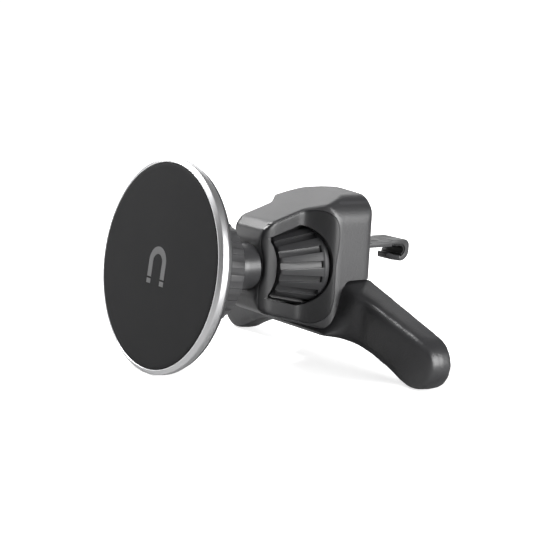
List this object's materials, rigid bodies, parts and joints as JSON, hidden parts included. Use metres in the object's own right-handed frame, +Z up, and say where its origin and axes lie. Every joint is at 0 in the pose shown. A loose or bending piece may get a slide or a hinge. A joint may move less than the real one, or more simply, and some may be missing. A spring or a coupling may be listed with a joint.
{
  "type": "car phone mount",
  "caption": "Magnetic disc phone holder on a locking ball joint, with a thumb-wheel hook clamp for an air vent blade and a two-legged brace.",
  "frame": {"origin": "on the common axis of the ball stud, thumb wheel and hook shank, in the plane of the back pad's rear face", "axes": "+Y towards the vent, -Y towards the driver, +X to the right seen from the driver, +Z up"},
  "size_m": [0.0992, 0.0907, 0.0602],
  "materials": {
    "pad_rubber": "fine matt, silky",
    "ring_aluminium": "turned, clear anodised",
    "black_plastic": "fine spark-eroded texture",
    "magnet_nickel": "nickel plated",
    "plated_steel": "zinc plated",
    "screw_steel": "zinc plated",
    "nut_plastic": "fine matt texture",
    "liner_plastic": "smooth, black",
    "stud_plastic": "satin",
    "housing_plastic": "fine spark-eroded texture",
    "cover_plastic": "fine spark-eroded texture",
    "wheel_plastic": "fine matt texture",
    "insert_brass": "machined",
    "grip_rubber": "matt",
    "hook_plastic": "satin",
    "leg_plastic": "fine spark-eroded texture"
  },
  "bodies": {
    "body": {"ball_stud": "stud_plastic", "stud_screw": "screw_steel", "stud_washer": "plated_steel", "housing": "housing_plastic", "side_cover_left": "cover_plastic", "side_cover_right": "cover_plastic", "thrust_washer_front": "plated_steel", "thrust_washer_rear": "plated_steel", "bearing_plate": "black_plastic", "rear_cover": "cover_plastic", "rear_screws": "screw_steel", "back_pad": "grip_rubber", "leg_bracket": "leg_plastic", "leg_screws": "screw_steel", "leg_pad_left": "grip_rubber", "leg_pad_right": "grip_rubber"},
    "ball_pad": {"friction_pad": "liner_plastic"},
    "ball_ring": {"compression_ring": "liner_plastic"},
    "head": {"front_pad": "pad_rubber", "front_ring": "ring_aluminium", "magnet_tray": "black_plastic", "magnets": "magnet_nickel", "steel_yoke": "plated_steel", "head_cover": "black_plastic", "head_screws": "screw_steel"},
    "nut": {"lock_nut": "nut_plastic"},
    "wheel": {"clamp_wheel": "wheel_plastic", "wheel_insert": "insert_brass"},
    "hook": {"hook_shank": "black_plastic", "hook_plate": "hook_plastic", "hook_rivets": "screw_steel", "hook_pad": "grip_rubber"}
  },
  "joints": [
    {"name": "head_pan", "type": "hinge", "parent": "body", "child": "ball_pad", "pos_m": [0, -0.0492, 0], "axis": [0, 0, 1], "range_deg": [-15, 15]},
    {"name": "head_tilt", "type": "hinge", "parent": "ball_pad", "child": "ball_ring", "pos_m": [0, -0.0492, 0], "axis": [1, 0, 0], "range_deg": [-8, 22]},
    {"name": "head_spin", "type": "hinge", "parent": "ball_ring", "child": "head", "pos_m": [0, -0.0492, 0], "axis": [0, -0.9917, 0.1288], "continuous": true},
    {"name": "lock_nut_turn", "type": "hinge", "parent": "head", "child": "nut", "pos_m": [0, -0.0492, 0], "axis": [0, -0.9917, 0.1288], "range_deg": [0, 270]},
    {"name": "wheel_turn", "type": "hinge", "parent": "body", "child": "wheel", "pos_m": [0, -0.022, 0], "axis": [0, 1, 0], "range_deg": [-600, 600]},
    {"name": "hook_slide", "type": "slide", "parent": "body", "child": "hook", "axis": [0, 1, 0], "range_m": [-0.0051, 0.0051]}
  ],
  "couplings": [
    {"joint": "hook_slide", "follows": "wheel_turn", "m_per_rad": -0.00047746}
  ]
}
